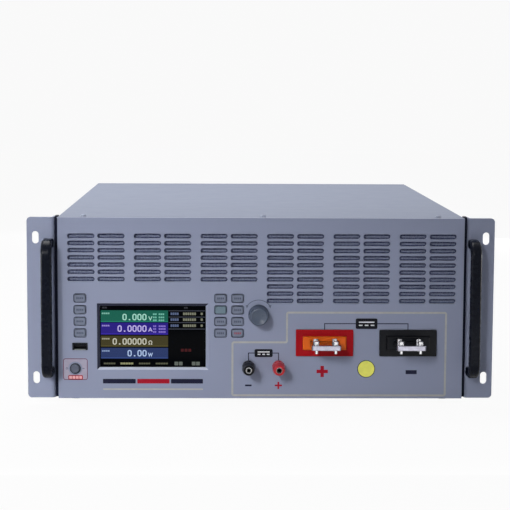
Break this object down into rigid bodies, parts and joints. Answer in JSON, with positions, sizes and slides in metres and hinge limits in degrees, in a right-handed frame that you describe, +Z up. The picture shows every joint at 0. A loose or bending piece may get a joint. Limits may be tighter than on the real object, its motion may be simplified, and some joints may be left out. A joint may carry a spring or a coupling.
{
  "type": "dc electronic load",
  "caption": "Rack-mount DC electronic load: grey case with slotted front panel, colour display, keys, knob, sense posts, busbar input terminals, rack ears and bow handles.",
  "frame": {"origin": "under the middle of the whole box, at the level of the foot soles", "axes": "+Z up, the front panel faces -Y, +X to the right seen from the front"},
  "size_m": [0.4826, 0.5904, 0.1989],
  "materials": {
    "panel_paint": "fine textured powder coat, blue grey",
    "cover_paint": "fine textured powder coat, blue grey",
    "rail_black": "satin black",
    "handle_black": "satin black coat",
    "foot_rubber": "moulded rubber",
    "screw_steel": "zinc plated",
    "window_glass": "gloss window",
    "key_plastic": "satin grey",
    "knob_plastic": "satin dark grey",
    "black_plastic": "satin black",
    "red_plastic": "satin red",
    "orange_plastic": "satin orange",
    "plated_bar": "bright nickel plate",
    "brass": "machined",
    "foam": "open-cell filter foam",
    "alloy": "mill finish",
    "board": "solder resist",
    "fan_plastic": "moulded black",
    "guard_wire": "bright wire"
  },
  "bodies": {
    "root": {"base_tray": "cover_paint", "top_cover": "cover_paint", "front_panel": "panel_paint", "rear_panel": "cover_paint", "side_rail_left": "rail_black", "side_rail_right": "rail_black", "rack_ear_left": "panel_paint", "rack_ear_right": "panel_paint", "handle_left": "handle_black", "handle_right": "handle_black", "feet": "foot_rubber", "cover_screws": "screw_steel", "case_screws": "screw_steel", "display_lens": "window_glass", "display_module": "alloy", "key_board": "board", "key_switches": "black_plastic", "usb_port": "black_plastic", "power_switch": "black_plastic", "encoder": "screw_steel", "terminal_plate_positive": "red_plastic", "terminal_plate_negative": "black_plastic", "terminal_block_positive": "orange_plastic", "terminal_block_negative": "black_plastic", "busbar_positive": "plated_bar", "busbar_negative": "plated_bar", "terminal_screws": "plated_bar", "sense_collar_negative": "black_plastic", "sense_collar_positive": "red_plastic", "sense_studs": "brass", "dust_filter": "foam", "heatsinks": "alloy", "power_transistors": "black_plastic", "control_board": "board", "power_supply": "alloy", "fan_frames": "fan_plastic", "fan_guards": "guard_wire", "mains_inlet": "black_plastic", "comm_port": "screw_steel"},
    "key_left_1": {"key_left_1": "key_plastic"},
    "key_left_2": {"key_left_2": "key_plastic"},
    "key_left_3": {"key_left_3": "key_plastic"},
    "key_left_4": {"key_left_4": "key_plastic"},
    "key_mid_1": {"key_mid_1": "key_plastic"},
    "key_mid_2": {"key_mid_2": "key_plastic"},
    "key_mid_3": {"key_mid_3": "key_plastic"},
    "key_mid_4": {"key_mid_4": "key_plastic"},
    "key_right_1": {"key_right_1": "key_plastic"},
    "key_right_2": {"key_right_2": "key_plastic"},
    "key_right_3": {"key_right_3": "key_plastic"},
    "key_right_4": {"key_right_4": "key_plastic"},
    "power_button": {"power_button": "key_plastic"},
    "knob": {"knob": "knob_plastic", "encoder_shaft": "screw_steel"},
    "fan_rotor_left": {"fan_rotor_left": "fan_plastic"},
    "fan_rotor_right": {"fan_rotor_right": "fan_plastic"},
    "sense_insert_negative": {"sense_insert_negative": "brass"},
    "sense_cap_negative": {"sense_cap_negative": "black_plastic"},
    "sense_insert_positive": {"sense_insert_positive": "brass"},
    "sense_cap_positive": {"sense_cap_positive": "red_plastic"}
  },
  "joints": [
    {"name": "key_left_1_press", "type": "slide", "parent": "root", "child": "key_left_1", "axis": [0, 1, 0], "range_m": [0, 0.0008], "stiffness_N_per_m": 300},
    {"name": "key_left_2_press", "type": "slide", "parent": "root", "child": "key_left_2", "axis": [0, 1, 0], "range_m": [0, 0.0008], "stiffness_N_per_m": 300},
    {"name": "key_left_3_press", "type": "slide", "parent": "root", "child": "key_left_3", "axis": [0, 1, 0], "range_m": [0, 0.0008], "stiffness_N_per_m": 300},
    {"name": "key_left_4_press", "type": "slide", "parent": "root", "child": "key_left_4", "axis": [0, 1, 0], "range_m": [0, 0.0008], "stiffness_N_per_m": 300},
    {"name": "key_mid_1_press", "type": "slide", "parent": "root", "child": "key_mid_1", "axis": [0, 1, 0], "range_m": [0, 0.0008], "stiffness_N_per_m": 300},
    {"name": "key_mid_2_press", "type": "slide", "parent": "root", "child": "key_mid_2", "axis": [0, 1, 0], "range_m": [0, 0.0008], "stiffness_N_per_m": 300},
    {"name": "key_mid_3_press", "type": "slide", "parent": "root", "child": "key_mid_3", "axis": [0, 1, 0], "range_m": [0, 0.0008], "stiffness_N_per_m": 300},
    {"name": "key_mid_4_press", "type": "slide", "parent": "root", "child": "key_mid_4", "axis": [0, 1, 0], "range_m": [0, 0.0008], "stiffness_N_per_m": 300},
    {"name": "key_right_1_press", "type": "slide", "parent": "root", "child": "key_right_1", "axis": [0, 1, 0], "range_m": [0, 0.0008], "stiffness_N_per_m": 300},
    {"name": "key_right_2_press", "type": "slide", "parent": "root", "child": "key_right_2", "axis": [0, 1, 0], "range_m": [0, 0.0008], "stiffness_N_per_m": 300},
    {"name": "key_right_3_press", "type": "slide", "parent": "root", "child": "key_right_3", "axis": [0, 1, 0], "range_m": [0, 0.0008], "stiffness_N_per_m": 300},
    {"name": "key_right_4_press", "type": "slide", "parent": "root", "child": "key_right_4", "axis": [0, 1, 0], "range_m": [0, 0.0008], "stiffness_N_per_m": 300},
    {"name": "power_button_press", "type": "slide", "parent": "root", "child": "power_button", "axis": [0, 1, 0], "range_m": [0, 0.002], "stiffness_N_per_m": 300},
    {"name": "knob_turn", "type": "hinge", "parent": "root", "child": "knob", "pos_m": [-0.0024, -0.25907, 0.0966], "axis": [0, -1, 0], "continuous": true},
    {"name": "fan_rotor_left_spin", "type": "hinge", "parent": "root", "child": "fan_rotor_left", "pos_m": [-0.066, 0.29093, 0.105], "axis": [0, 1, 0], "continuous": true},
    {"name": "fan_rotor_right_spin", "type": "hinge", "parent": "root", "child": "fan_rotor_right", "pos_m": [0.066, 0.29093, 0.105], "axis": [0, 1, 0], "continuous": true},
    {"name": "sense_insert_negative_slide", "type": "slide", "parent": "root", "child": "sense_insert_negative", "axis": [0, -1, 0], "range_m": [0, 0.004]},
    {"name": "sense_cap_negative_turn", "type": "hinge", "parent": "sense_insert_negative", "child": "sense_cap_negative", "pos_m": [-0.0128, -0.25907, 0.0426], "axis": [0, -1, 0], "range_deg": [0, 1440]},
    {"name": "sense_insert_positive_slide", "type": "slide", "parent": "root", "child": "sense_insert_positive", "axis": [0, -1, 0], "range_m": [0, 0.004]},
    {"name": "sense_cap_positive_turn", "type": "hinge", "parent": "sense_insert_positive", "child": "sense_cap_positive", "pos_m": [0.0184, -0.25907, 0.0426], "axis": [0, -1, 0], "range_deg": [0, 1440]}
  ],
  "couplings": [
    {"joint": "sense_cap_negative_turn", "follows": "sense_insert_negative_slide", "rad_per_m": 6283.2},
    {"joint": "sense_cap_positive_turn", "follows": "sense_insert_positive_slide", "rad_per_m": 6283.2}
  ]
}
